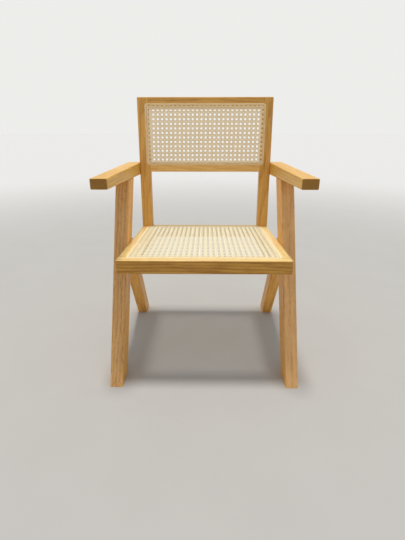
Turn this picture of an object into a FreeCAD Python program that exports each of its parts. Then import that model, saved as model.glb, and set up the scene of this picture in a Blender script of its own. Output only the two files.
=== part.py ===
"""Cane armchair with compass legs: solid wood frame, woven cane seat and back.

Millimetres. X runs across the chair, +Y to the back, +Z up from the floor. While the pieces are
shaped, Y is measured from the seat's front edge; at the end the chair is centred over the origin.
"""

import FreeCAD, Part

import math
import os

from FreeCAD import Placement, Rotation, Vector

# Overall sizes
OVERALL_HEIGHT = 803.0
FRAME_WIDTH = 474.0
SEAT_FRONT_HEIGHT = 372.0
SEAT_DEPTH = 430.0
SEAT_TILT_DEG = 2.3
BACK_RECLINE_DEG = 5.2

# Seat frame
SEAT_RAIL_HEIGHT = 37.0
FRONT_RAIL_DEPTH = 50.0
SIDE_RAIL_WIDTH = 50.0
REAR_RAIL_REACH = 16.0

# Back frame
STILE_WIDTH = 38.0
STILE_THICKNESS = 28.5
TOP_RAIL_HEIGHT = 36.0
LOWER_RAIL_HEIGHT = 34.5
LOWER_RAIL_DROP = 249.0

# Armrests
ARM_TOP_HEIGHT = 586.5
ARM_FRONT_OVERHANG = 4.0
ARM_REAR_OVERHANG = 4.0
ARM_FRONT_WIDTH = 43.0
ARM_REAR_WIDTH = 48.5
ARM_FRONT_THICKNESS = 27.0
ARM_REAR_THICKNESS = 42.0

# Legs
FRONT_LEG_LEAN_DEG = 29.0
FRONT_LEG_WIDTH = 65.5
FRONT_FOOT_ADVANCE = 54.0
REAR_LEG_LEAN_DEG = 29.5
REAR_LEG_WIDTH = 51.0
REAR_LEG_TOP_DROP = 2.0
LEG_CONTACT_LENGTH = 22.3
LEG_TOP_THICKNESS = 43.5
LEG_FOOT_THICKNESS = 36.0

# Joinery
TENON_THICKNESS = 11.0
TENON_LENGTH = 19.0
TENON_SHOULDER = 6.0
CORNER_TENON_LENGTH = 15.0
ARM_TENON_WIDTH = 42.0
ARM_TENON_HEIGHT = 15.0
LEG_TENON_HEIGHT = 14.0
LEG_TENON_LENGTH = 18.0
JOINT_CLEARANCE = 0.1

# Dowels between the arms and the stiles
DOWEL_DIAMETER = 10.0
DOWEL_SPACING = 18.0
DOWEL_IN_ARM = 27.0
DOWEL_END_ROOM = 1.0
DOWEL_TO_TENON = 5.0

# Screws from the seat's side rails into the legs, and the plugs over them
SCREW_DIAMETER = 5.0
SCREW_HEAD_DIAMETER = 9.5
SCREW_HEAD_HEIGHT = 4.0
SCREW_IN_LEG = 28.0
SCREW_SPACING = 26.0
SCREW_HEAD_ROOM = 1.5
PLUG_LENGTH = 8.0

# Cane, its groove and its spline
GROOVE_WIDTH = 7.0
GROOVE_DEPTH = 7.0
GROOVE_CORNER_RADIUS = 10.0
SEAT_GROOVE_SIDE_INSET = 21.0
SEAT_GROOVE_FRONT_INSET = 25.0
SEAT_GROOVE_REAR_ROOM = 1.5
BACK_GROOVE_SIDE_INSET = 25.4
BACK_GROOVE_TOP_INSET = 20.5
BACK_GROOVE_BOTTOM_INSET = 23.4
CANE_THICKNESS = 1.3
CANE_EDGE_DEPTH = 5.0
SPLINE_CROWN = 1.0
SPLINE_ROUNDING = 1.2

# Weave: the back's openings at their real pitch, the seat's half as coarse again
BACK_PITCH_ACROSS = 15.6
BACK_PITCH_UP = 15.1
SEAT_PITCH = 23.0
GAP_DIAMETER_SHARE = 0.53
WEAVE_EDGE_ROOM = 0.5

# Softened edges
LEG_ARRIS = 2.5
ARM_ARRIS = 3.0
ARM_END_ARRIS = 1.5
RAIL_ARRIS = 1.5
BACK_ARRIS = 3.0

# Small allowances that only the modelling uses
OVERRUN = 20.0
POINT_TOLERANCE = 0.01

# Sizes that follow from the ones above
FAR = 2 * OVERALL_HEIGHT
FRAME_HALF = FRAME_WIDTH / 2
SIDE_RAIL_INSIDE = FRAME_HALF - SIDE_RAIL_WIDTH
STILE_INSIDE = FRAME_HALF - STILE_WIDTH
DOWEL_IN_STILE = STILE_WIDTH - TENON_LENGTH - DOWEL_TO_TENON - DOWEL_END_ROOM
PLUG_DIAMETER = SCREW_HEAD_DIAMETER + SCREW_HEAD_ROOM
FRONT_LEG_SLOPE = math.tan(math.radians(FRONT_LEG_LEAN_DEG))
REAR_LEG_SLOPE = math.tan(math.radians(REAR_LEG_LEAN_DEG))
FRONT_LEG_RUN = FRONT_LEG_WIDTH / math.cos(math.radians(FRONT_LEG_LEAN_DEG))
REAR_LEG_RUN = REAR_LEG_WIDTH / math.cos(math.radians(REAR_LEG_LEAN_DEG))

# The seat frame's own space: X across, Y along the seat from its front edge, Z from its top face
SEAT_SPACE = Placement(Vector(0, 0, SEAT_FRONT_HEIGHT), Rotation(Vector(1, 0, 0), -SEAT_TILT_DEG))

# The back frame's own space: Y through its thickness from its front face, Z up along it from the seat
BACK_FOOT = SEAT_SPACE.multVec(Vector(0, SEAT_DEPTH, 0))
BACK_SPACE = Placement(BACK_FOOT, Rotation(Vector(1, 0, 0), -BACK_RECLINE_DEG))
BACK_LENGTH = (OVERALL_HEIGHT - BACK_FOOT.z) / math.cos(math.radians(BACK_RECLINE_DEG))
LOWER_RAIL_BOTTOM = BACK_LENGTH - LOWER_RAIL_DROP
LOWER_RAIL_TOP = LOWER_RAIL_BOTTOM + LOWER_RAIL_HEIGHT
TOP_RAIL_BOTTOM = BACK_LENGTH - TOP_RAIL_HEIGHT


def placed(shape, placement):
    """A copy of the shape moved out of its own space."""
    moved = shape.copy()
    moved.Placement = placement.multiply(moved.Placement)
    return moved


def block(low, high):
    """A box between two opposite corners."""
    size = Vector(*high) - Vector(*low)
    return Part.makeBox(size.x, size.y, size.z, Vector(*low))


def grown(low, high, room):
    """The same box, larger by the room on every side."""
    return block([value - room for value in low], [value + room for value in high])


def side_prism(outline, start, end):
    """A side-view outline of (y, z) corners, run across the chair from one X to another."""
    corners = [Vector(start, y, z) for y, z in outline]
    face = Part.Face(Part.makePolygon(corners + corners[:1]))
    return face.extrude(Vector(end - start, 0, 0))


def plan_prism(outline, low, high):
    """A plan outline of (x, y) corners, run up from one Z to another."""
    corners = [Vector(x, y, low) for x, y in outline]
    face = Part.Face(Part.makePolygon(corners + corners[:1]))
    return face.extrude(Vector(0, 0, high - low))


def front_prism(outline, start, end):
    """A front-view outline of (x, z) corners, run back from one Y to another."""
    corners = [Vector(x, start, z) for x, z in outline]
    face = Part.Face(Part.makePolygon(corners + corners[:1]))
    return face.extrude(Vector(0, end - start, 0))


def softened(shape, radius, wanted):
    """Rounds the straight edges whose two end points pass the test."""
    edges = []
    for edge in shape.Edges:
        ends = [vertex.Point for vertex in edge.Vertexes]
        if len(ends) == 2 and wanted(ends[0], ends[1]):
            edges.append(edge)
    return shape.makeFillet(radius, edges)


def mirrored(shape):
    """The same piece on the chair's other side."""
    return shape.mirror(Vector(0, 0, 0), Vector(1, 0, 0))


def crossing(point, slope, other, other_slope):
    """Where two side-view lines meet: each goes through (y, z) and shifts in Y by its slope per Z."""
    rise = (other[0] - point[0] + slope * point[1] - other_slope * other[1]) / (slope - other_slope)
    return (point[0] + slope * (rise - point[1]), rise)


def rounded_ring(half_width, low, high, radius, width, bottom, top):
    """A frame of one width with rounded corners, flat in X and Y, between two levels."""
    outer = rounded_plate(half_width, low, high, radius, bottom, top)
    inner = rounded_plate(half_width - width, low + width, high - width, radius - width, bottom, top)
    return outer.cut(inner)


def rounded_plate(half_width, low, high, radius, bottom, top):
    """A plate with rounded corners, flat in X and Y, between two levels."""
    plate = block((-half_width, low, bottom), (half_width, high, top))
    upright = [edge for edge in plate.Edges if abs(edge.tangentAt(edge.FirstParameter).z) > POINT_TOLERANCE]
    return plate.makeFillet(radius, upright)


def cane_sheet(half_width, low, high, open_half_width, open_low, open_high, pitch_across, pitch_up):
    """The woven sheet on the frame's face, with its edge turned down into the groove."""
    corner = GROOVE_CORNER_RADIUS - GROOVE_WIDTH + CANE_THICKNESS
    plate = rounded_plate(half_width, low, high, corner, 0, CANE_THICKNESS)
    outline = max(plate.Faces, key=lambda face: face.CenterOfMass.z).OuterWire
    gap_radius = GAP_DIAMETER_SHARE * min(pitch_across, pitch_up) / 2
    margin = gap_radius + WEAVE_EDGE_ROOM
    columns = int(2 * (open_half_width - margin) / pitch_across) + 1
    rows = int((open_high - open_low - 2 * margin) / pitch_up) + 1
    wires = [outline]
    for column in range(columns):
        x = (column - (columns - 1) / 2) * pitch_across
        for row in range(rows):
            y = (open_low + open_high) / 2 + (row - (rows - 1) / 2) * pitch_up
            gap = Part.makeCircle(gap_radius, Vector(x, y, CANE_THICKNESS), Vector(0, 0, -1))
            wires.append(Part.Wire(gap))
    sheet = Part.Face(wires).extrude(Vector(0, 0, -CANE_THICKNESS))
    edge = rounded_ring(half_width, low, high, corner, CANE_THICKNESS, -CANE_EDGE_DEPTH, 0)
    print("weave", columns, "by", rows)
    return sheet.fuse(edge).removeSplitter()


def spline(half_width, low, high):
    """The reed that fills the groove outside the cane's turned edge, its top slightly proud."""
    width = GROOVE_WIDTH - CANE_THICKNESS
    radius = GROOVE_CORNER_RADIUS
    reed = rounded_ring(half_width, low, high, radius, width, -GROOVE_DEPTH, SPLINE_CROWN)
    crown = [edge for edge in reed.Edges if edge.BoundBox.ZMin > SPLINE_CROWN - POINT_TOLERANCE]
    return reed.makeFillet(SPLINE_ROUNDING, crown)


def groove(half_width, low, high):
    """The space of the routed groove, open at the face."""
    return rounded_ring(half_width, low, high, GROOVE_CORNER_RADIUS, GROOVE_WIDTH, -GROOVE_DEPTH, OVERRUN)


# The two groove outlines: half width, low end and high end, each in its frame's face
SEAT_GROOVE = (
    FRAME_HALF - SEAT_GROOVE_SIDE_INSET,
    SEAT_GROOVE_FRONT_INSET,
    SEAT_DEPTH - SEAT_GROOVE_REAR_ROOM,
)
BACK_GROOVE = (
    FRAME_HALF - BACK_GROOVE_SIDE_INSET,
    LOWER_RAIL_BOTTOM + BACK_GROOVE_BOTTOM_INSET,
    BACK_LENGTH - BACK_GROOVE_TOP_INSET,
)

# Turns a face drawn flat in X and Y into the back frame's front face, its Y up and its Z forward
BACK_FACE = BACK_SPACE.multiply(Placement(Vector(0, 0, 0), Rotation(Vector(1, 0, 0), 90)))


def seat_cut():
    return placed(groove(*SEAT_GROOVE), SEAT_SPACE)


def back_cut():
    return placed(groove(*BACK_GROOVE), BACK_FACE)


def sheet_for(outline, open_half_width, open_low, open_high, pitch_across, pitch_up):
    """The cane sheet for a groove outline: it reaches the groove's inner wall and turns down there."""
    reach = GROOVE_WIDTH - CANE_THICKNESS
    half_width, low, high = outline
    return cane_sheet(
        half_width - reach, low + reach, high - reach,
        open_half_width, open_low, open_high, pitch_across, pitch_up,
    )


# Seat frame

# The side rails' tenons lie in the outer half of the stile or the rail, whichever is narrower
SIDE_TENON_INSIDE = (max(STILE_INSIDE, SIDE_RAIL_INSIDE) + FRAME_HALF) / 2
REAR_RAIL_FRONT = SEAT_DEPTH - REAR_RAIL_REACH


def side_rail_tenon_corners(start, end):
    """A side rail's stub tenon at the frame's right side, between two places along the rail."""
    low = (SIDE_TENON_INSIDE, start, -SEAT_RAIL_HEIGHT + TENON_SHOULDER)
    high = (SIDE_TENON_INSIDE + TENON_THICKNESS, end, -GROOVE_DEPTH - TENON_SHOULDER)
    return low, high


def front_rail_tenon():
    return side_rail_tenon_corners(FRONT_RAIL_DEPTH - TENON_LENGTH, FRONT_RAIL_DEPTH + OVERRUN)


def stile_foot_tenon():
    return side_rail_tenon_corners(SEAT_DEPTH - OVERRUN, SEAT_DEPTH + CORNER_TENON_LENGTH)


def rear_rail_tenon_corners():
    """The rear rail's stub tenon, as thick in Y as the others are in X, behind the stile's front."""
    middle = SEAT_DEPTH + STILE_THICKNESS / 2
    low = (STILE_INSIDE - OVERRUN, middle - TENON_THICKNESS / 2, -SEAT_RAIL_HEIGHT + TENON_SHOULDER)
    high = (STILE_INSIDE + CORNER_TENON_LENGTH, middle + TENON_THICKNESS / 2, -GROOVE_DEPTH - TENON_SHOULDER)
    return low, high


def behind_stile_front():
    """All the space behind the back frame's front face."""
    return placed(block((-FAR, 0, -FAR), (FAR, FAR, FAR)), BACK_SPACE)


def behind_stile_rear():
    """All the space behind the back frame's rear face."""
    return placed(block((-FAR, STILE_THICKNESS, -FAR), (FAR, FAR, FAR)), BACK_SPACE)


def seat_front_rail():
    rail = block((-FRAME_HALF, 0, -SEAT_RAIL_HEIGHT), (FRAME_HALF, FRONT_RAIL_DEPTH, 0))
    middle = FRONT_RAIL_DEPTH / 2
    rail = softened(rail, RAIL_ARRIS, lambda a, b: max(a.y, b.y) < middle)
    mortise = grown(*front_rail_tenon(), JOINT_CLEARANCE)
    rail = rail.cut([mortise, mirrored(mortise)])
    return placed(rail, SEAT_SPACE).cut(seat_cut())


def seat_side_rail():
    """The right side rail, with a stub tenon at each end and its rear end fitted to the stile."""
    low = (SIDE_RAIL_INSIDE, FRONT_RAIL_DEPTH, -SEAT_RAIL_HEIGHT)
    rail = block(low, (FRAME_HALF, SEAT_DEPTH + OVERRUN, 0))
    outer = FRAME_HALF - POINT_TOLERANCE
    rail = softened(rail, RAIL_ARRIS, lambda a, b: min(a.x, b.x) > outer and abs(a.y - b.y) > SEAT_DEPTH / 2)
    rail = placed(rail, SEAT_SPACE).cut(behind_stile_front())
    tenons = [placed(block(*front_rail_tenon()), SEAT_SPACE), placed(block(*stile_foot_tenon()), SEAT_SPACE)]
    rail = rail.fuse(tenons).removeSplitter()
    return rail.cut([seat_cut()] + screw_holes())


def seat_rear_rail():
    """The rear rail: its front lies between the side rails, and its rear between the stiles."""
    far = SEAT_DEPTH + STILE_THICKNESS + OVERRUN
    front = block((-SIDE_RAIL_INSIDE, REAR_RAIL_FRONT, -SEAT_RAIL_HEIGHT), (SIDE_RAIL_INSIDE, far, 0))
    front = placed(front, SEAT_SPACE).cut(behind_stile_front())
    rear = placed(block((-STILE_INSIDE, REAR_RAIL_FRONT, -SEAT_RAIL_HEIGHT), (STILE_INSIDE, far, 0)), SEAT_SPACE)
    rear = rear.common(behind_stile_front()).cut(behind_stile_rear())
    tenon = placed(block(*rear_rail_tenon_corners()), SEAT_SPACE)
    rail = front.fuse([rear, tenon, mirrored(tenon)]).removeSplitter()
    return rail.cut(seat_cut())


def seat_cane_panel():
    open_low = FRONT_RAIL_DEPTH
    open_high = REAR_RAIL_FRONT
    sheet = sheet_for(SEAT_GROOVE, SIDE_RAIL_INSIDE, open_low, open_high, SEAT_PITCH, SEAT_PITCH)
    return placed(sheet, SEAT_SPACE)


def seat_spline():
    return placed(spline(*SEAT_GROOVE), SEAT_SPACE)


# Back frame

def back_rail_tenon_corners(bottom, height):
    """A back rail's stub tenon at the right end: centred in the thickness, shouldered above and below."""
    middle = (GROOVE_DEPTH + STILE_THICKNESS) / 2
    low = (STILE_INSIDE - OVERRUN, middle - TENON_THICKNESS / 2, bottom + TENON_SHOULDER)
    high = (STILE_INSIDE + TENON_LENGTH, middle + TENON_THICKNESS / 2, bottom + height - TENON_SHOULDER)
    return low, high


def back_rail(bottom, height):
    rail = block((-STILE_INSIDE, 0, bottom), (STILE_INSIDE, STILE_THICKNESS, bottom + height))
    top = BACK_LENGTH - POINT_TOLERANCE
    if bottom + height > top:
        rail = softened(rail, BACK_ARRIS, lambda a, b: min(a.z, b.z) > top and abs(a.x - b.x) > STILE_INSIDE)
    tenon = block(*back_rail_tenon_corners(bottom, height))
    rail = rail.fuse([tenon, mirrored(tenon)]).removeSplitter()
    return placed(rail, BACK_SPACE).cut(back_cut())


def back_top_rail():
    return back_rail(TOP_RAIL_BOTTOM, TOP_RAIL_HEIGHT)


def back_lower_rail():
    return back_rail(LOWER_RAIL_BOTTOM, LOWER_RAIL_HEIGHT)


def is_stile_arris(a, b):
    """The stile's long outer edges and those round its top, but not the one against the top rail."""
    inner = STILE_INSIDE + POINT_TOLERANCE
    outside = min(a.x, b.x) > inner and max(a.z, b.z) > 0
    at_top = max(a.x, b.x) > inner and min(a.z, b.z) > 0
    return outside or at_top


def back_stile():
    """The right stile: from the top of the back to the underside of the seat frame."""
    below = SEAT_RAIL_HEIGHT + OVERRUN
    stile = block((STILE_INSIDE, 0, -below), (FRAME_HALF, STILE_THICKNESS, BACK_LENGTH))
    stile = softened(stile, BACK_ARRIS, is_stile_arris)
    mortises = []
    for bottom, height in ((TOP_RAIL_BOTTOM, TOP_RAIL_HEIGHT), (LOWER_RAIL_BOTTOM, LOWER_RAIL_HEIGHT)):
        mortises.append(grown(*back_rail_tenon_corners(bottom, height), JOINT_CLEARANCE))
    stile = placed(stile.cut(mortises), BACK_SPACE)
    under_seat = block((-FAR, -FAR, -FAR), (FAR, FAR, -SEAT_RAIL_HEIGHT))
    seat_mortises = [grown(*stile_foot_tenon(), JOINT_CLEARANCE), grown(*rear_rail_tenon_corners(), JOINT_CLEARANCE)]
    cuts = [placed(shape, SEAT_SPACE) for shape in [under_seat] + seat_mortises]
    return stile.cut(cuts + [back_cut()] + dowel_holes())


def back_cane_panel():
    sheet = sheet_for(
        BACK_GROOVE, STILE_INSIDE, LOWER_RAIL_TOP, TOP_RAIL_BOTTOM, BACK_PITCH_ACROSS, BACK_PITCH_UP
    )
    return placed(sheet, BACK_FACE)


def back_spline():
    return placed(spline(*BACK_GROOVE), BACK_FACE)


# Armrests

def stile_face_at(height, depth):
    """The Y of the back frame's face at a height, a depth behind its front face."""
    point = BACK_SPACE.multVec(Vector(0, depth, 0))
    return point.y + (height - point.z) * math.tan(math.radians(BACK_RECLINE_DEG))


ARM_FRONT = -ARM_FRONT_OVERHANG
ARM_STILE_FRONT = stile_face_at(ARM_TOP_HEIGHT, 0)
ARM_UNDERSIDE_FRONT = ARM_TOP_HEIGHT - ARM_FRONT_THICKNESS
ARM_UNDERSIDE_FALL = (ARM_REAR_THICKNESS - ARM_FRONT_THICKNESS) / (ARM_STILE_FRONT - ARM_FRONT)


def arm_underside_at(y):
    return ARM_UNDERSIDE_FRONT - ARM_UNDERSIDE_FALL * (y - ARM_FRONT)


def arm_tenon_corners():
    """The front leg's stub tenon in the arm's underside, in the middle of the leg's top end."""
    front = leg_top_corners()[0][0]
    rear = leg_top_corners()[1][0]
    middle = (front + rear) / 2
    across = FRAME_HALF + (LEG_TOP_THICKNESS - TENON_THICKNESS) / 2
    level = arm_underside_at(middle)
    low = (across, middle - ARM_TENON_WIDTH / 2, level - ARM_TENON_HEIGHT)
    high = (across + TENON_THICKNESS, middle + ARM_TENON_WIDTH / 2, level + ARM_TENON_HEIGHT)
    return low, high


def armrest():
    """The right arm: level top, underside falling to the rear, a little wider at the rear."""
    rear_depth = STILE_THICKNESS + ARM_REAR_OVERHANG
    rear_top = stile_face_at(ARM_TOP_HEIGHT, rear_depth)
    rear_bottom = stile_face_at(arm_underside_at(rear_top), rear_depth)
    outline = [
        (ARM_FRONT, ARM_TOP_HEIGHT),
        (rear_top, ARM_TOP_HEIGHT),
        (rear_bottom, arm_underside_at(rear_bottom)),
        (ARM_FRONT, ARM_UNDERSIDE_FRONT),
    ]
    arm = side_prism(outline, FRAME_HALF, FRAME_HALF + ARM_REAR_WIDTH + OVERRUN)
    flare = (ARM_REAR_WIDTH - ARM_FRONT_WIDTH) / (rear_top - ARM_FRONT)
    past_rear = rear_top + OVERRUN
    past_front = ARM_FRONT - OVERRUN
    outside = [
        (FRAME_HALF + ARM_FRONT_WIDTH - flare * OVERRUN, past_front),
        (FRAME_HALF + ARM_REAR_WIDTH + flare * OVERRUN, past_rear),
        (FRAME_HALF + ARM_REAR_WIDTH + FAR, past_rear),
        (FRAME_HALF + ARM_REAR_WIDTH + FAR, past_front),
    ]
    arm = arm.cut(plan_prism(outside, 0, OVERALL_HEIGHT))
    along = (ARM_STILE_FRONT - ARM_FRONT) / 2
    arm = softened(arm, ARM_ARRIS, lambda a, b: abs(a.y - b.y) > along)

    def at_an_end(point):
        behind = point.y - stile_face_at(point.z, rear_depth)
        return min(abs(point.y - ARM_FRONT), abs(behind)) < POINT_TOLERANCE

    arm = softened(arm, ARM_END_ARRIS, lambda a, b: at_an_end(a) and at_an_end(b))
    return arm.cut([grown(*arm_tenon_corners(), JOINT_CLEARANCE)] + dowel_holes())


# Legs

def taper_cut():
    """What the legs lose outside their tapered outer face, which narrows from the arm to the floor."""
    outline = [
        (FRAME_HALF + LEG_FOOT_THICKNESS, 0),
        (FRAME_HALF + LEG_TOP_THICKNESS, ARM_TOP_HEIGHT),
        (FRAME_HALF + LEG_TOP_THICKNESS + OVERRUN, ARM_TOP_HEIGHT),
        (FRAME_HALF + LEG_TOP_THICKNESS + OVERRUN, 0),
    ]
    return front_prism(outline, -FAR, FAR)


def leg_top_corners():
    """The front leg's two top corners in side view, on the arm's underside."""
    underside = (ARM_FRONT, ARM_UNDERSIDE_FRONT)
    underside_slope = -1 / ARM_UNDERSIDE_FALL
    front = crossing((-FRONT_FOOT_ADVANCE, 0), FRONT_LEG_SLOPE, underside, underside_slope)
    rear = crossing((FRONT_LEG_RUN - FRONT_FOOT_ADVANCE, 0), FRONT_LEG_SLOPE, underside, underside_slope)
    return front, rear


def rear_leg_corners():
    """The rear leg in side view, from its foot's front round by the front leg's rear edge to its foot's rear."""
    top = SEAT_SPACE.multVec(Vector(0, 0, -REAR_LEG_TOP_DROP))
    top_slope = -1 / math.tan(math.radians(SEAT_TILT_DEG))
    inner = crossing((FRONT_LEG_RUN - FRONT_FOOT_ADVANCE, 0), FRONT_LEG_SLOPE, (top.y, top.z), top_slope)
    lean = math.radians(FRONT_LEG_LEAN_DEG)
    crotch = (inner[0] - LEG_CONTACT_LENGTH * math.sin(lean), inner[1] - LEG_CONTACT_LENGTH * math.cos(lean))
    foot_front = (crotch[0] + REAR_LEG_SLOPE * crotch[1], 0)
    foot_rear = (foot_front[0] + REAR_LEG_RUN, 0)
    outer = crossing(foot_rear, -REAR_LEG_SLOPE, (top.y, top.z), top_slope)
    return [foot_front, crotch, inner, outer, foot_rear]


def leg_tenon(room):
    """The rear leg's stub tenon, square to the front leg's rear edge, below the seat's top."""
    crotch = rear_leg_corners()[1]
    middle = FRAME_HALF + LEG_FOOT_THICKNESS / 2
    low = (middle - TENON_THICKNESS / 2, -LEG_TENON_LENGTH, (LEG_CONTACT_LENGTH - LEG_TENON_HEIGHT) / 2)
    high = (middle + TENON_THICKNESS / 2, LEG_TENON_HEIGHT / 2, (LEG_CONTACT_LENGTH + LEG_TENON_HEIGHT) / 2)
    tenon = grown(low, high, room)
    at_crotch = Placement(Vector(0, crotch[0], crotch[1]), Rotation(Vector(1, 0, 0), -FRONT_LEG_LEAN_DEG))
    return placed(tenon, at_crotch)


def front_leg():
    """The right front leg: one straight board from the floor to the arm."""
    front, rear = leg_top_corners()
    outline = [(-FRONT_FOOT_ADVANCE, 0), front, rear, (FRONT_LEG_RUN - FRONT_FOOT_ADVANCE, 0)]
    leg = side_prism(outline, FRAME_HALF, FRAME_HALF + LEG_TOP_THICKNESS).cut(taper_cut())
    leg = softened(leg, LEG_ARRIS, lambda a, b: abs(a.z - b.z) > ARM_TOP_HEIGHT / 2)
    leg = leg.fuse(block(*arm_tenon_corners())).removeSplitter()
    return leg.cut([leg_tenon(JOINT_CLEARANCE)] + screw_holes())


def rear_leg():
    """The right rear leg: its top end bears on the front leg's rear edge, beside the seat rail."""
    leg = side_prism(rear_leg_corners(), FRAME_HALF, FRAME_HALF + LEG_TOP_THICKNESS).cut(taper_cut())
    leg = softened(leg, LEG_ARRIS, lambda a, b: abs(a.z - b.z) > SEAT_FRONT_HEIGHT / 2)
    leg = leg.fuse(leg_tenon(0)).removeSplitter()
    return leg.cut(screw_holes())


# Hidden fasteners

def across(radius, start, end, point):
    """A round bar across the chair, between two X places, through a side-view point."""
    return Part.makeCylinder(radius, end - start, Vector(start, point.y, point.z), Vector(1, 0, 0))


def dowel_middles():
    """The right arm's dowels: one above the other, in the middle of the stile's thickness."""
    stile_rear = stile_face_at(ARM_TOP_HEIGHT, STILE_THICKNESS)
    level = (ARM_TOP_HEIGHT + arm_underside_at(stile_rear)) / 2
    y = (stile_face_at(level, 0) + stile_face_at(level, STILE_THICKNESS)) / 2
    return [Vector(0, y, level + step * DOWEL_SPACING) for step in (-0.5, 0.5)]


def dowel_holes():
    start = FRAME_HALF - DOWEL_IN_STILE - DOWEL_END_ROOM
    end = FRAME_HALF + DOWEL_IN_ARM + DOWEL_END_ROOM
    radius = DOWEL_DIAMETER / 2
    return [across(radius, start, end, point) for point in dowel_middles()]


def arm_dowels():
    start = FRAME_HALF - DOWEL_IN_STILE
    end = FRAME_HALF + DOWEL_IN_ARM
    dowels = [across(DOWEL_DIAMETER / 2, start, end, point) for point in dowel_middles()]
    return Part.makeCompound(dowels + [mirrored(dowel) for dowel in dowels])


def screw_middles():
    """Two screws to each leg, at the mid height of the seat's side rail."""
    middle = SEAT_SPACE.multVec(Vector(0, 0, -SEAT_RAIL_HEIGHT / 2))
    rail_slope = -1 / math.tan(math.radians(SEAT_TILT_DEG))
    edges = [
        ((-FRONT_FOOT_ADVANCE, 0), FRONT_LEG_SLOPE),
        ((FRONT_LEG_RUN - FRONT_FOOT_ADVANCE, 0), FRONT_LEG_SLOPE),
        (rear_leg_corners()[-1], -REAR_LEG_SLOPE),
    ]
    front, notch, rear = [crossing(foot, slope, (middle.y, middle.z), rail_slope) for foot, slope in edges]
    points = []
    for near, far in ((front, notch), (notch, rear)):
        centre = Vector(0, (near[0] + far[0]) / 2, (near[1] + far[1]) / 2)
        along = SEAT_SPACE.Rotation.multVec(Vector(0, SCREW_SPACING / 2, 0))
        points += [centre - along, centre + along]
    return points


HEAD_FACE = SIDE_RAIL_INSIDE + PLUG_LENGTH
HEAD_SEAT = HEAD_FACE + SCREW_HEAD_HEIGHT


def screw_holes():
    holes = []
    for point in screw_middles():
        bore = across(PLUG_DIAMETER / 2, SIDE_RAIL_INSIDE - OVERRUN, HEAD_SEAT, point)
        shank = across(SCREW_DIAMETER / 2, HEAD_SEAT - POINT_TOLERANCE, FRAME_HALF + SCREW_IN_LEG, point)
        holes.append(bore.fuse(shank))
    return holes


def seat_leg_screws():
    screws = []
    for point in screw_middles():
        head = across(SCREW_HEAD_DIAMETER / 2, HEAD_FACE, HEAD_SEAT, point)
        shank = across(SCREW_DIAMETER / 2, HEAD_SEAT, FRAME_HALF + SCREW_IN_LEG, point)
        screws.append(head.fuse(shank))
    return Part.makeCompound(screws + [mirrored(screw) for screw in screws])


def screw_plugs():
    plugs = [across(PLUG_DIAMETER / 2, SIDE_RAIL_INSIDE, HEAD_FACE, point) for point in screw_middles()]
    return Part.makeCompound(plugs + [mirrored(plug) for plug in plugs])


def pair(name, right):
    """A piece of the right side and its twin of the left side."""
    return {"left_" + name: mirrored(right), "right_" + name: right}


def build():
    pieces = {}
    pieces.update(pair("front_leg", front_leg()))
    pieces.update(pair("rear_leg", rear_leg()))
    pieces.update(pair("armrest", armrest()))
    pieces.update(pair("back_stile", back_stile()))
    pieces.update(pair("seat_side_rail", seat_side_rail()))
    pieces["seat_front_rail"] = seat_front_rail()
    pieces["seat_rear_rail"] = seat_rear_rail()
    pieces["back_top_rail"] = back_top_rail()
    pieces["back_lower_rail"] = back_lower_rail()
    pieces["seat_cane_panel"] = seat_cane_panel()
    pieces["seat_spline"] = seat_spline()
    pieces["back_cane_panel"] = back_cane_panel()
    pieces["back_spline"] = back_spline()
    pieces["arm_dowels"] = arm_dowels()
    pieces["seat_leg_screws"] = seat_leg_screws()
    pieces["screw_plugs"] = screw_plugs()
    return pieces


def main():
    pieces = build()
    front = min(shape.BoundBox.YMin for shape in pieces.values())
    rear = max(shape.BoundBox.YMax for shape in pieces.values())
    centring = Placement(Vector(0, -(front + rear) / 2, 0), Rotation())
    os.makedirs("parts", exist_ok=True)
    for name, shape in pieces.items():
        centred = placed(shape, centring)
        centred.exportStep("parts/" + name + ".step")
        print(name, len(centred.Solids), "solids, volume", round(centred.Volume))
    print("front", round(front, 2), "rear", round(rear, 2))


main()
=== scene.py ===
import math

import bpy
from mathutils import Matrix, Vector


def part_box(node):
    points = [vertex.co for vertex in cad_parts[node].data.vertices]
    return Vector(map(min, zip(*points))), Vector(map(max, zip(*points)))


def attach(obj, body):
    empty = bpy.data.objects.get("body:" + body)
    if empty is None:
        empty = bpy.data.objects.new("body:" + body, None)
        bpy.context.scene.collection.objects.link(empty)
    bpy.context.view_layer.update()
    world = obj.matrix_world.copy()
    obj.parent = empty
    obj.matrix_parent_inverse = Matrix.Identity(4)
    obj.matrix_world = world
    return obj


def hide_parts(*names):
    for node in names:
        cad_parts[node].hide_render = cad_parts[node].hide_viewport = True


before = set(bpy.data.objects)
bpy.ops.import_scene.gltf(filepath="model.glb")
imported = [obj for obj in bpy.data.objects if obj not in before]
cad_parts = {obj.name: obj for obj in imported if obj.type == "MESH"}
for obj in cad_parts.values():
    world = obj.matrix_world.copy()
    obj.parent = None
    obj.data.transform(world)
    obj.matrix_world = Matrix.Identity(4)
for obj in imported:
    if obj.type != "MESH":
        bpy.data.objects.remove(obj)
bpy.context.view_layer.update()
bpy.ops.object.select_all(action="DESELECT")


# Legs. Four planed boards of an open-pored hardwood, oiled to a satin. The long front legs lean
# back to the arms, and are tenoned into them from below. The shorter rear legs lean forward, and
# are tenoned into the front ones beside the seat.

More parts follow.
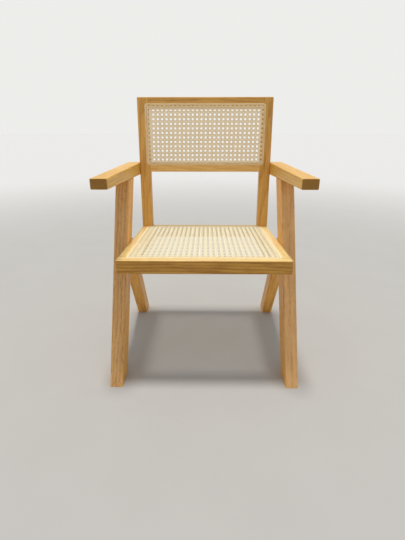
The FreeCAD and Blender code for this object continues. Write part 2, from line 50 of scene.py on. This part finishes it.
class Tone:
    """One socket of a material. Arithmetic on it adds Math nodes."""

    def __init__(self, tree, socket=None):
        self.tree = tree
        self.socket = socket

    def node(self, kind, settings, sockets, output=0):
        """A node of a kind: its settings come first, then the values or links of its sockets."""
        made = self.tree.nodes.new(kind)
        for name, value in settings.items():
            if name == "stops":
                stops = made.color_ramp.elements
                for index, (position, grey) in enumerate(value):
                    stop = stops[index] if index < 2 else stops.new(position)
                    stop.position = position
                    stop.color = (grey, grey, grey, 1)
            else:
                setattr(made, name, value)
        for name, value in sockets.items():
            if isinstance(value, Tone):
                self.tree.links.new(value.socket, made.inputs[name])
            else:
                made.inputs[name].default_value = value
        return Tone(self.tree, made.outputs[output])

    def maths(self, operation, *others):
        sockets = dict(enumerate((self,) + others))
        return self.node("ShaderNodeMath", {"operation": operation}, sockets)

    def __add__(self, other):
        return self.maths("ADD", other)

    def __sub__(self, other):
        return self.maths("SUBTRACT", other)

    def __rsub__(self, other):
        return self.maths("MULTIPLY_ADD", -1.0, other)

    def __mul__(self, other):
        return self.maths("MULTIPLY", other)

    __radd__ = __add__
    __rmul__ = __mul__

    def vector(self, operation, *others, output=0):
        sockets = dict(enumerate((self,) + others))
        return self.node("ShaderNodeVectorMath", {"operation": operation}, sockets, output)

    def noise(self, scales, detail=2.0, rough=0.5, output=0):
        """Noise of so many cycles a metre along the three axes."""
        sockets = {"Vector": self.vector("MULTIPLY", scales), "Scale": 1.0,
                   "Detail": detail, "Roughness": rough}
        return self.node("ShaderNodeTexNoise", {}, sockets, output)

    def step(self, low, high):
        """0 below low, 1 above high, and smooth between them."""
        sockets = {"Value": self, "From Min": low, "From Max": high}
        return self.node("ShaderNodeMapRange", {"interpolation_type": "SMOOTHSTEP"}, sockets)

    def mixed(self, first, second):
        """From the first colour to the second, by this factor."""
        # The node's sockets share their names, so the factor, colours and result go by number.
        return self.node("ShaderNodeMix", {"data_type": "RGBA"}, {0: self, 6: first, 7: second}, 2)

    def relief(self, strength, height):
        """This pattern as a bump, so high in metres."""
        sockets = {"Strength": strength, "Distance": height, "Height": self}
        return self.node("ShaderNodeBump", {}, sockets, "Normal")

    def feed(self, shader, name):
        """Links this value to a socket of the shader."""
        self.tree.links.new(self.socket, shader.inputs[name])


def bare_material(name):
    """A new material, its tree as a Tone, and its surface shader."""
    material = bpy.data.materials.new(name)
    material.use_nodes = True
    return material, Tone(material.node_tree), material.node_tree.nodes["Principled BSDF"]


def dress(names, material):
    for name in names:
        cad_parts[name].material_slots[0].material = material


# The wood's patterns, in cycles a metre along the board and across it.
CLOUDS = (2.2, 14.0, 14.0)
MOTTLE = (13.0, 105.0, 105.0)
STREAKS = (7.0, 260.0, 260.0)
FLECKS = (38.0, 430.0, 430.0)
PORES = (95.0, 1500.0, 1500.0)
# What bends the rings: the cycles and the detail of a drift, and how far it goes in metres.
DRIFTS = (((1.6, 7.0, 7.0), 1.0, 0.030),
          ((5.0, 26.0, 26.0), 1.0, 0.011),
          ((9.0, 60.0, 60.0), 2.0, 0.0022))
# The rings run nearly straight along the board, so its length counts for this much.
TAPER = 0.05
# How dark the wood is across one ring. The first two places are the ring's ends.
RING_SHADES = ((0, 0.95), (1, 0.95), (0.22, 0.5), (0.66, 0.04), (0.92, 0.2))
NOISE_MIDDLE = (0.5, 0.5, 0.5)
# A pore's colour, as shares of the wood's deep one.
PORE_SHADE = (0.45, 0.42, 0.40, 1)
END_GRAIN = ((0.33, 0.165, 0.026, 1), (0.24, 0.100, 0.012, 1))
SATIN_ROUGHNESS = 0.40
OIL_SPECULAR = 0.32


def hardwood(board, along, pith, colours, ring, figure, pores, painted_light_face=None):
    """Wood for one board: growth rings about a pith, long streaks, flecks and short pores.

    The colours are the wood's pale and its deep one. A painted light face is the normal of a face
    whose colour holds painted light or shade, and that face's own two colours."""
    pale, deep = colours
    material, tree, surface = bare_material(board + "_hardwood")
    low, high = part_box(board)
    turn = Vector(along).rotation_difference(Vector((1, 0, 0)))
    place = Vector(pith) - turn @ ((low + high) / 2)
    source = tree.node("ShaderNodeTexCoord", {}, {}, "Object")
    facing = tree.node("ShaderNodeTexCoord", {}, {}, "Normal")
    wood = tree.node("ShaderNodeMapping", {},
                     {"Vector": source, "Rotation": turn.to_euler(), "Location": place})

    bent = wood.vector("MULTIPLY", (TAPER, 1, 1))
    for scales, detail, reach in DRIFTS:
        drift = wood.noise(scales, detail, output="Color").vector("SUBTRACT", NOISE_MIDDLE)
        bent = bent.vector("ADD", drift.vector("MULTIPLY", (0, reach, reach)))
    rings = (bent.vector("LENGTH", output="Value") * (1 / ring)).maths("FRACT")
    rings = rings.node("ShaderNodeValToRGB", {"stops": RING_SHADES}, {0: rings})
    clouds = wood.noise(CLOUDS) - 0.5
    mottle = wood.noise(MOTTLE) - 0.5
    streaks = wood.noise(STREAKS, 3.0, 0.6)
    flecks = wood.noise(FLECKS).step(0.56, 0.68)
    dark_pores = wood.noise(PORES, 1.0).step(0.56, 0.68) * (rings * 0.75 + 0.25)

    depth = (rings * 0.55 + mottle * 1.1) * figure + streaks.step(0.3, 0.72) * 0.28 + clouds * 0.8
    depth = depth.maths("MAXIMUM", 0.0).maths("MINIMUM", 1.0)
    colour = depth.mixed(pale, deep)
    # On that one face the wood's colours give way to lit or shaded copies of them: painted light or
    # shade.
    if painted_light_face:
        normal, painted_light_colours = painted_light_face
        painted_light_mask = facing.vector("DOT_PRODUCT", normal, output="Value").step(0.75, 0.95)
        colour = painted_light_mask.mixed(colour, depth.mixed(*painted_light_colours))
    pore_colour = [part * shade for part, shade in zip(deep, PORE_SHADE)]
    colour = (dark_pores.maths("MAXIMUM", flecks * 0.6) * pores).mixed(colour, pore_colour)
    end = facing.vector("DOT_PRODUCT", Vector(along).normalized(), output="Value")
    end = end.maths("ABSOLUTE").step(0.8, 0.97)
    colour = end.mixed(colour, depth.mixed(*END_GRAIN))

    colour.feed(surface, "Base Color")
    roughness = SATIN_ROUGHNESS + dark_pores * 0.25 + clouds * 0.12 + end * 0.15
    roughness.feed(surface, "Roughness")
    height = streaks * 0.25 - dark_pores - rings * 0.2
    height.relief(0.55, 0.00022).feed(surface, "Normal")
    surface.inputs["Specular IOR Level"].default_value = OIL_SPECULAR
    return material


# The first colours are the legs' own. The two darker, greyer woods after them are painted shade on
# the front legs' front faces and the rear legs' back faces.
LEG_WOOD = ((0.90, 0.475, 0.105, 1), (0.56, 0.240, 0.042, 1))
LEG_PAINTED_SHADE_WOOD = ((0.69, 0.400, 0.149, 1), (0.43, 0.200, 0.060, 1))
RIGHT_LEG_PAINTED_SHADE_WOOD = ((0.76, 0.440, 0.175, 1), (0.51, 0.245, 0.080, 1))
LEG_FIGURE = 0.85
FRONT_LEAN = math.radians(29.0)
REAR_LEAN = math.radians(29.5)
front_run = (0, math.sin(FRONT_LEAN), math.cos(FRONT_LEAN))
front_face = (0, -math.cos(FRONT_LEAN), math.sin(FRONT_LEAN))
rear_run = (0, -math.sin(REAR_LEAN), math.cos(REAR_LEAN))
rear_face = (0, math.cos(REAR_LEAN), math.sin(REAR_LEAN))
# For each board: its run, the pith's place from its middle, the width of its rings, how dark its
# pores are, and the face with painted shade, with its colours.
for board, along, pith, ring, pores, painted_light_face in (
        ("left_front_leg", front_run, (0.31, 0.05, 0.14), 0.0105, 0.80,
         (front_face, LEG_PAINTED_SHADE_WOOD)),
        ("right_front_leg", front_run, (1.13, -0.03, 0.17), 0.0115, 0.50,
         (front_face, RIGHT_LEG_PAINTED_SHADE_WOOD)),
        ("left_rear_leg", rear_run, (0.72, 0.12, 0.05), 0.0090, 0.65,
         (rear_face, LEG_PAINTED_SHADE_WOOD)),
        ("right_rear_leg", rear_run, (1.91, -0.14, 0.04), 0.0090, 0.65,
         (rear_face, LEG_PAINTED_SHADE_WOOD))):
    dress([board], hardwood(board, along, pith, LEG_WOOD, ring, LEG_FIGURE, pores, painted_light_face))


# Seat frame. The front rail runs the full width, the side rails are tenoned into its back and into
# the back's stiles, and the rear rail lies between the stiles. A groove for the cane is routed all
# round its top face. The frame's colours carry painted light on its lit faces.

SEAT_WOOD = ((0.80, 0.450, 0.110, 1), (0.50, 0.240, 0.045, 1))
# The front rail's darker colours are partly painted shade. The pale pair after them is painted
# light.
FRONT_RAIL_WOOD = ((0.60, 0.305, 0.052, 1), (0.32, 0.135, 0.018, 1))
PAINTED_LIGHT_WOOD = ((0.87, 0.645, 0.260, 1), (0.66, 0.405, 0.130, 1))
SEAT_PORES = 0.45
FINE_RINGS = 0.0068
# The front rail is dark, partly its own wood and partly painted shade, with painted light on its
# top. The others are painted light all over, save their outer face, which keeps the wood's own
# colour.
for board, along, pith, colours, ring, figure, painted_light_face in (
        ("seat_front_rail", (1, 0, 0), (0.4, 0.02, 0.055), FRONT_RAIL_WOOD, 0.0095, 1.25,
         ((0, 0, 1), PAINTED_LIGHT_WOOD)),
        ("seat_rear_rail", (1, 0, 0), (1.7, 0.09, 0.06), PAINTED_LIGHT_WOOD, FINE_RINGS, 0.8,
         ((0, 1, 0), SEAT_WOOD)),
        ("left_seat_side_rail", (0, 1, 0), (0.2, 0.07, 0.13), PAINTED_LIGHT_WOOD, FINE_RINGS, 0.8,
         ((-1, 0, 0), SEAT_WOOD)),
        ("right_seat_side_rail", (0, 1, 0), (2.3, -0.06, 0.15), PAINTED_LIGHT_WOOD, FINE_RINGS, 0.8,
         ((1, 0, 0), SEAT_WOOD))):
    dress([board], hardwood(board, along, pith, colours, ring, figure, SEAT_PORES, painted_light_face))


# Back frame. Two stiles run from the underside of the seat to the top, leaning back, with a rail
# tenoned between them above and below the cane. Its groove is routed in the front face.

BACK_WOOD = ((0.78, 0.430, 0.102, 1), (0.42, 0.185, 0.034, 1))
# The lower rail's paler colours are painted light, standing in for the light the seat throws up
# onto it.
LOWER_RAIL_PAINTED_LIGHT_WOOD = ((0.90, 0.550, 0.170, 1), (0.62, 0.320, 0.080, 1))
BACK_FIGURE = 0.75
BACK_PORES = 0.32
RECLINE = math.radians(5.2)
up_the_back = (0, math.sin(RECLINE), math.cos(RECLINE))
for board, along, pith, colours in (
        ("left_back_stile", up_the_back, (0.9, 0.16, 0.04), BACK_WOOD),
        ("right_back_stile", up_the_back, (2.9, -0.13, 0.08), BACK_WOOD),
        ("back_top_rail", (1, 0, 0), (0.1, 0.11, 0.03), BACK_WOOD),
        ("back_lower_rail", (1, 0, 0), (3.3, 0.08, 0.06), LOWER_RAIL_PAINTED_LIGHT_WOOD)):
    wood = hardwood(board, along, pith, colours, FINE_RINGS, BACK_FIGURE, BACK_PORES)
    dress([board], wood)


# Arms. Each is one thick board, sawn thinner towards its front, with bare end grain and eased ends.
# It sits on the front leg's tenon, and blind dowels hold its inner face to the back's stile.

ARM_WOOD = ((0.81, 0.470, 0.091, 1), (0.52, 0.250, 0.036, 1))
ARM_FIGURE = 0.7
ARM_PORES = 0.3
for board, pith in (("left_armrest", (0.6, 0.09, 0.10)), ("right_armrest", (1.5, -0.10, 0.11))):
    wood = hardwood(board, (0, 1, 0), pith, ARM_WOOD, FINE_RINGS, ARM_FIGURE, ARM_PORES)
    dress([board], wood)


# Hidden fasteners. Turned hardwood dowels between the arms and the stiles, zinc-plated screws
# through the side rails into the legs, and turned plugs over the screws' heads in the seat frame.

PLUG_WOOD = ((0.50, 0.30, 0.12, 1), (0.27, 0.14, 0.05, 1))
ZINC = ((0.60, 0.60, 0.58, 1), (0.48, 0.50, 0.52, 1))


def turned_wood():
    material, tree, surface = bare_material("turned_plug_wood")
    source = tree.node("ShaderNodeTexCoord", {}, {}, "Object")
    fibres = source.noise((120.0, 1400.0, 1400.0))
    fibres.step(0.3, 0.75).mixed(*PLUG_WOOD).feed(surface, "Base Color")
    (fibres * 0.2 + 0.5).feed(surface, "Roughness")
    fibres.relief(0.4, 0.0002).feed(surface, "Normal")
    return material


def plated_steel():
    material, tree, surface = bare_material("zinc_plated_steel")
    source = tree.node("ShaderNodeTexCoord", {}, {}, "Object")
    patches = source.noise((900.0, 900.0, 900.0), 3.0)
    patches.mixed(*ZINC).feed(surface, "Base Color")
    (patches * 0.25 + 0.25).feed(surface, "Roughness")
    surface.inputs["Metallic"].default_value = 1.0
    return material


dress(["arm_dowels", "screw_plugs"], turned_wood())
dress(["seat_leg_screws"], plated_steel())


# Seat cane. Open six-way webbing of peeled rattan: pairs of strands along and across the seat, with
# diagonals both ways between them. Its edge is pressed into the groove under the reed spline.

PEEL_WIDTH = 0.0027
PEEL_THICKNESS = 0.00058
# A strand of a pair lies this far from the pair's middle.
PAIR_HALF = 0.00235
# The weave's middle above the frame's face, and how far a strand rises and dips from there.
WEAVE_LEVEL = 0.00062
WEAVE_RISE = 0.00029
# Half the level run of a strand at a crossing, and what a diagonal has past a pair's strands.
LEVEL_HALF = 0.0007
DIAGONAL_ROOM = 0.0005
# The last part of each strand, which is turned down into the groove, and how far down.
LIP = 0.0008
LIP_DROP = 0.0022
WELD = 0.00002
SMOOTH_UP_TO = math.radians(50)


def peeled_cane(name, turn, pale, deep):
    """Rattan peel: cream and glossy, each strand a little different, with darker joints.

    Its fibres run at so many degrees to the panel's X."""
    material, tree, surface = bare_material(name)
    source = tree.node("ShaderNodeTexCoord", {}, {}, "UV")
    flat = tree.node("ShaderNodeMapping", {},
                     {"Vector": source, "Rotation": (0, 0, -math.radians(turn))})
    strand = flat.noise((3.0, 210.0, 0.0), 1.0)
    fibres = flat.noise((30.0, 3600.0, 0.0))
    joints = flat.noise((26.0, 190.0, 0.0), 0.0)
    depth = strand.step(0.25, 0.75) * 0.6 + fibres.step(0.35, 0.7) * 0.35
    depth = (depth + joints.step(0.70, 0.78) * 0.5).maths("MINIMUM", 1.0)
    depth.mixed(pale, deep).feed(surface, "Base Color")
    (fibres * 0.22 + 0.30).feed(surface, "Roughness")
    fibres.relief(0.4, 0.0001).feed(surface, "Normal")
    return material


def strand_period(name, waves, period):
    """One period of a strand along X: a flat lens of a section, over and under what it crosses."""
    x, level = waves[0]
    bpy.ops.mesh.primitive_circle_add(vertices=4, radius=PEEL_WIDTH / 2, fill_type="NOTHING",
                                      location=(x, 0, level), rotation=(0, math.pi / 2, 0))
    strand = bpy.context.object
    strand.name = name
    bpy.ops.object.mode_set(mode="EDIT")
    bpy.ops.mesh.select_all(action="SELECT")
    flatness = PEEL_THICKNESS / PEEL_WIDTH
    bpy.ops.transform.resize(value=(1, 1, flatness), center_override=(x, 0, level))
    for next_x, next_level in waves[1:] + [(waves[0][0] + period, waves[0][1])]:
        move = (next_x - x, 0, next_level - level)
        bpy.ops.mesh.extrude_region_move(TRANSFORM_OT_translate={"value": move})
        x, level = next_x, next_level
    bpy.ops.object.mode_set(mode="OBJECT")
    bpy.ops.object.transform_apply(location=True, rotation=True, scale=True)
    return strand


def repeated(piece, count, step, merged=False):
    """Copies the active piece in a row."""
    row = piece.modifiers.new("row", "ARRAY")
    row.count = count
    row.use_relative_offset = False
    row.use_constant_offset = True
    row.constant_offset_displace = step
    row.use_merge_vertices = merged
    row.merge_threshold = WELD
    bpy.ops.object.modifier_apply(modifier=row.name)


def turned(piece, degrees, place):
    """Turns the active piece about the panel's normal and moves it there, in its mesh."""
    piece.rotation_euler = (0, 0, math.radians(degrees))
    piece.location = place
    bpy.ops.object.transform_apply(location=True, rotation=True, scale=True)


def straight_waves(pitch, first):
    """Four crossings a period, over and under by turns, each with a short level run."""
    crossings = (PAIR_HALF, pitch / 2 - PAIR_HALF, pitch / 2 + PAIR_HALF, pitch - PAIR_HALF)
    waves = []
    for index, crossing in enumerate(crossings):
        level = WEAVE_LEVEL + (WEAVE_RISE if index % 2 == first else -WEAVE_RISE)
        waves += [(crossing - LEVEL_HALF, level), (crossing + LEVEL_HALF, level)]
    return waves


def diagonal_waves(pitch, first):
    """Over both strands of one pair, then under both of the next."""
    reach = PAIR_HALF + DIAGONAL_ROOM
    waves = []
    for index in (0, 1):
        level = WEAVE_LEVEL + (WEAVE_RISE if index == first else -WEAVE_RISE)
        for part in (-1, 0, 1):
            waves.append(((index * pitch / 2 + part * reach) * math.sqrt(2), level))
    return waves


def in_line(name, along_x, pitch, low, high, upper):
    """All strands of one kind, the first or the second of each pair, along or across the panel."""
    # Places are counted from a hole's centre: the pairs lie half a pitch from it.
    run_low, run_high, side_low, side_high = low[0], high[0], low[1], high[1]
    if not along_x:
        run_low, run_high, side_low, side_high = low[1], high[1], low[0], high[0]
    offset = pitch / 2 + (PAIR_HALF if upper else -PAIR_HALF)
    start = math.floor(run_low / pitch) - 1
    count = math.ceil(run_high / pitch) + 1 - start
    first = math.ceil((side_low + PEEL_WIDTH / 2 - offset) / pitch)
    last = math.floor((side_high - PEEL_WIDTH / 2 - offset) / pitch)
    over_first = 0 if upper == along_x else 1
    strand = strand_period(name, straight_waves(pitch, over_first), pitch)
    repeated(strand, count, (pitch, 0, 0), True)
    side = offset + first * pitch
    if along_x:
        turned(strand, 0, (start * pitch, side, 0))
        repeated(strand, last - first + 1, (0, pitch, 0))
    else:
        turned(strand, 90, (side, start * pitch, 0))
        repeated(strand, last - first + 1, (pitch, 0, 0))
    return strand


def diagonal(name, rising, pitch, low, high):
    """All diagonals one way: through the slots of the pairs, midway between their crossings."""
    sign = 1 if rising else -1
    period = pitch * math.sqrt(2)
    y_low, y_high = (low[1], high[1]) if rising else (-high[1], -low[1])
    first = math.floor((low[0] - y_high) / pitch) - 1
    last = math.ceil((high[0] - y_low) / pitch) + 1
    start = math.floor(y_low / pitch) - 1
    count = math.ceil(y_high / pitch) + 1 - start
    strand = strand_period(name, diagonal_waves(pitch, 1 if rising else 0), period)
    repeated(strand, count, (period, 0, 0), True)
    turned(strand, sign * 45, ((first + start) * pitch, sign * (start + 0.5) * pitch, 0))
    repeated(strand, last - first + 1, (pitch, 0, 0))
    return strand


def trimmed(piece, low, high):
    """Cuts the strands to the panel, and turns their ends down into the groove."""
    sides = [((low[0], 0, 0), (-1, 0, 0)), ((high[0], 0, 0), (1, 0, 0)),
             ((0, low[1], 0), (0, -1, 0)), ((0, high[1], 0), (0, 1, 0))]
    bpy.ops.object.mode_set(mode="EDIT")
    for point, normal in sides:
        bpy.ops.mesh.select_all(action="SELECT")
        bpy.ops.mesh.bisect(plane_co=point, plane_no=normal, clear_outer=True)
    for point, normal in sides:
        inside = Vector(point) - Vector(normal) * LIP
        bpy.ops.mesh.select_all(action="SELECT")
        bpy.ops.mesh.bisect(plane_co=inside, plane_no=normal)
    bpy.ops.mesh.select_all(action="SELECT")
    bpy.ops.mesh.fill_holes(sides=0)
    bpy.ops.mesh.select_all(action="DESELECT")
    bpy.ops.object.mode_set(mode="OBJECT")
    room = LIP / 2
    for vertex in piece.data.vertices:
        x, y, _ = vertex.co
        within = low[0] + room < x < high[0] - room and low[1] + room < y < high[1] - room
        vertex.select = not within
    bpy.ops.object.mode_set(mode="EDIT")
    bpy.ops.transform.translate(value=(0, 0, -LIP_DROP))
    bpy.ops.mesh.select_all(action="SELECT")
    bpy.ops.mesh.normals_make_consistent(inside=False)
    bpy.ops.object.mode_set(mode="OBJECT")


def webbing(panel, node, pitch, hole, low, high, place, colours, stretch=1.0, skew=0.0):
    """Six-way webbing for one panel, drawn flat about a hole's centre and then laid on its frame.

    Stretch is along the panel's Y, and skew is how far X drifts for each unit of Y."""
    spread = Matrix(((1, skew, 0, hole[0]), (0, stretch, 0, hole[1]), (0, 0, 1, 0), (0, 0, 0, 1)))
    near = spread.inverted() @ Vector((low[0], low[1], 0))
    far = spread.inverted() @ Vector((high[0], high[1], 0))
    reach = abs(skew) * (high[1] - low[1])
    near = (near.x - reach, near.y)
    far = (far.x + reach, far.y)
    strands = [
        (in_line(panel + "_cross_strands_lower", True, pitch, near, far, False), 0),
        (in_line(panel + "_cross_strands_upper", True, pitch, near, far, True), 0),
        (in_line(panel + "_long_strands_left", False, pitch, near, far, False), 90),
        (in_line(panel + "_long_strands_right", False, pitch, near, far, True), 90),
        (diagonal(panel + "_rising_diagonals", True, pitch, near, far), 45),
        (diagonal(panel + "_falling_diagonals", False, pitch, near, far), -45),
    ]
    for strand, fibres in strands:
        bpy.ops.object.select_all(action="DESELECT")
        bpy.context.view_layer.objects.active = strand
        strand.select_set(True)
        strand.data.transform(spread)
        trimmed(strand, low, high)
        flat = strand.data.uv_layers.new(name="UVMap")
        for loop in strand.data.loops:
            flat.data[loop.index].uv = strand.data.vertices[loop.vertex_index].co.xy
        bpy.ops.object.shade_smooth_by_angle(angle=SMOOTH_UP_TO)
        strand.data.transform(place)
        strand.data.materials.append(peeled_cane(strand.name + "_peel", fibres, *colours))
        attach(strand, "root")
        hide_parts(node)


# The seat's peel is paler and greener than the back's. That is painted light, of a strong sun and
# of green light thrown up from below.
SEAT_PEEL = ((0.95, 0.905, 0.67, 1), (0.84, 0.72, 0.46, 1))
SEAT_TILT = math.radians(2.3)
SEAT_FRONT = Vector((0, -0.22229, 0.372))
SEAT_LAY = Matrix.Translation(SEAT_FRONT) @ Matrix.Rotation(-SEAT_TILT, 4, "X")
webbing("seat", "seat_cane_panel", pitch=0.01553, hole=(-0.0035, 0.2127),
        low=(-0.2099, 0.0311), high=(0.2099, 0.4224), place=SEAT_LAY, colours=SEAT_PEEL)


# Back cane. The same webbing at a slightly different pitch, browner than the seat's, whose peel has
# painted light in it. It was drawn askew when it was pressed into its groove.

BACK_PEEL = ((0.97, 0.80, 0.50, 1), (0.83, 0.60, 0.32, 1))
# The back frame's length up from the seat, and the foot of its front face.
BACK_TOP = 0.4503
BACK_FOOT = SEAT_LAY @ Vector((0, 0.430, 0))
BACK_LAY = Matrix.Translation(BACK_FOOT) @ Matrix.Rotation(math.pi / 2 - RECLINE, 4, "X")
webbing("back", "back_cane_panel", pitch=0.01535, hole=(0.0021, BACK_TOP - 0.1318),
        low=(-0.2055, BACK_TOP - 0.2197), high=(0.2055, BACK_TOP - 0.0268), place=BACK_LAY,
        colours=BACK_PEEL, stretch=0.976, skew=0.0124)


# Splines. Rattan core reed, soaked, glued and driven into the grooves over the cane's edge. One
# length goes all the way round each panel, and its ends meet in the middle of the far side.

SEAT_REED = ((0.94, 0.81, 0.54, 1), (0.78, 0.60, 0.34, 1))
BACK_REED = ((0.91, 0.71, 0.42, 1), (0.68, 0.46, 0.21, 1))
# The section, across from the groove's outer wall and up from the frame's face.
REED_SECTION = ((-0.0001, -0.0020), (-0.0001, 0.00015), (-0.0008, 0.00070), (-0.0024, 0.00100),
                (-0.0044, 0.00100), (-0.0060, 0.00068), (-0.0068, 0.00005), (-0.0069, -0.0020))
REED_WIDTH = 0.0069
REED_CORNER = 0.010
CORNER_STEPS = 7
REED_WELD = 0.000005
# Half the gap between the reed's two ends.
BUTT_HALF = 0.0001


def core_reed(name, inside, pale, deep):
    """Rattan core: matt and pale, its fibres along whichever side of the groove it lies in."""
    material, tree, surface = bare_material(name)
    source = tree.node("ShaderNodeTexCoord", {}, {}, "Object")
    side = source.node("ShaderNodeSeparateXYZ", {}, {0: source}, "X")
    side = side.maths("ABSOLUTE").step(inside, inside + 0.001)
    along = source.noise((40.0, 1300.0, 1300.0))
    across = source.noise((1300.0, 40.0, 40.0))
    fibres = along * (1 - side) + across * side
    fibres.step(0.3, 0.7).mixed(pale, deep).feed(surface, "Base Color")
    (fibres * 0.2 + 0.5).feed(surface, "Roughness")
    fibres.relief(0.5, 0.0002).feed(surface, "Normal")
    return material


def driven_reed(name, node, half_width, low, high, place, colours):
    """A reed swept round a rounded rectangle, which half_width, low and high give from outside."""
    run = half_width - REED_CORNER
    rise = high - low - 2 * REED_CORNER
    bpy.ops.object.select_all(action="DESELECT")
    bpy.ops.mesh.primitive_circle_add(vertices=len(REED_SECTION), radius=REED_WIDTH / 2,
                                      fill_type="NGON", location=(-BUTT_HALF, high, 0),
                                      rotation=(0, math.pi / 2, 0))
    reed = bpy.context.object
    reed.name = name
    bpy.ops.object.transform_apply(location=True, rotation=True, scale=True)
    for vertex, (across, up) in zip(reed.data.vertices, REED_SECTION):
        vertex.co = (-BUTT_HALF, high + across, up)
    bpy.ops.object.mode_set(mode="EDIT")
    bpy.ops.mesh.select_all(action="SELECT")
    sides = [((-1, 0), run - BUTT_HALF), ((0, -1), rise), ((1, 0), 2 * run), ((0, 1), rise),
             ((-1, 0), run - BUTT_HALF)]
    centres = [(-run, high - REED_CORNER, 0), (-run, low + REED_CORNER, 0),
               (run, low + REED_CORNER, 0), (run, high - REED_CORNER, 0)]
    for index, ((x, y), length) in enumerate(sides):
        move = (x * length, y * length, 0)
        bpy.ops.mesh.extrude_region_move(TRANSFORM_OT_translate={"value": move})
        if index < len(centres):
            bpy.ops.mesh.spin(steps=CORNER_STEPS, angle=-math.pi / 2, center=centres[index],
                              axis=(0, 0, 1))
    bpy.ops.mesh.select_all(action="SELECT")
    bpy.ops.mesh.remove_doubles(threshold=REED_WELD)
    bpy.ops.mesh.normals_make_consistent(inside=False)
    bpy.ops.object.mode_set(mode="OBJECT")
    bpy.ops.object.shade_smooth_by_angle(angle=SMOOTH_UP_TO)
    reed.data.transform(place)
    reed.data.materials.append(core_reed(name + "_core", half_width - REED_WIDTH, *colours))
    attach(reed, "root")
    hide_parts(node)


driven_reed("seat_reed", "seat_spline", half_width=0.2160, low=0.0250, high=0.4285,
            place=SEAT_LAY, colours=SEAT_REED)
driven_reed("back_reed", "back_spline", half_width=0.2116, low=0.2245, high=0.4296,
            place=BACK_LAY, colours=BACK_REED)


# Surroundings. A plain pale floor runs into a pale surround, and one broad soft lamp hangs almost
# overhead. The camera stands where the photograph was taken from.

FLOOR_RADIUS = 90
NEAR_FLOOR = ((0.45, 0.44, 0.42, 1), (0.48, 0.47, 0.45, 1))
FAR_FLOOR = (0.659, 0.659, 0.652, 1)
# How far from the chair's middle the near colours start to give way, and where they are gone.
FLOOR_FADE = (1.3, 5.0)
bpy.ops.mesh.primitive_circle_add(vertices=96, radius=FLOOR_RADIUS, fill_type="NGON",
                                  location=(0, 0, 0))
floor = bpy.context.object
floor.name = "studio_floor"
paper, tree, surface = bare_material("pale_floor")
source = tree.node("ShaderNodeTexCoord", {}, {}, "Object")
far = source.vector("LENGTH", output="Value").step(*FLOOR_FADE)
near_floor = source.noise((5.0, 5.0, 5.0), 4.0).mixed(*NEAR_FLOOR)
far.mixed(near_floor, FAR_FLOOR).feed(surface, "Base Color")
surface.inputs["Roughness"].default_value = 0.9
surface.inputs["Specular IOR Level"].default_value = 0.2
floor.data.materials.append(paper)

# The world's light on the chair, and the colour in which the camera, metal and glass see it.
SKY_LIGHT = (0.56, 0.57, 0.59, 1)
SKY_SEEN = (0.852, 0.849, 0.830, 1)
world = bpy.context.scene.world or bpy.data.worlds.new("studio")
bpy.context.scene.world = world
world.use_nodes = True
path = world.node_tree.nodes.new("ShaderNodeLightPath")
seen = Tone(world.node_tree, path.outputs["Is Camera Ray"])
for ray in ("Is Glossy Ray", "Is Transmission Ray"):
    seen = seen.maths("MAXIMUM", Tone(world.node_tree, path.outputs[ray]))
background = world.node_tree.nodes["Background"]
seen.mixed(SKY_LIGHT, SKY_SEEN).feed(background, "Color")
background.inputs["Strength"].default_value = 1.0

LAMP_DIRECTION = (0.02, -0.10, -1)
bpy.ops.object.light_add(type="SUN", location=(-0.3, -0.6, 2.6))
lamp = bpy.context.object
lamp.name = "overhead"
lamp.data.angle = math.radians(9)
lamp.data.energy = 2.2
lamp.data.color = (1.0, 0.975, 0.93)
lamp.rotation_euler = Vector(LAMP_DIRECTION).to_track_quat("-Z", "Y").to_euler()

# Worked out from the photograph: its vanishing points give the focal length and the tilt.
CAMERA_PLACE = (0.0043, -1.0952, 0.6944)
LOOKS_DOWN = math.radians(21.71)
LEANS = math.radians(0.012)
TURNS = math.radians(0.571)
FOCAL_PIXELS = 350
PICTURE_PIXELS = 540
SENSOR_HEIGHT = 24
bpy.ops.object.camera_add(location=CAMERA_PLACE, rotation=(math.pi / 2 - LOOKS_DOWN, LEANS, TURNS))
camera = bpy.context.object
camera.data.sensor_fit = "VERTICAL"
camera.data.sensor_height = SENSOR_HEIGHT
camera.data.lens = SENSOR_HEIGHT * FOCAL_PIXELS / PICTURE_PIXELS
camera.data.clip_start = 0.01
camera.data.clip_end = 300
bpy.context.scene.camera = camera
bpy.context.scene.view_settings.view_transform = "Standard"
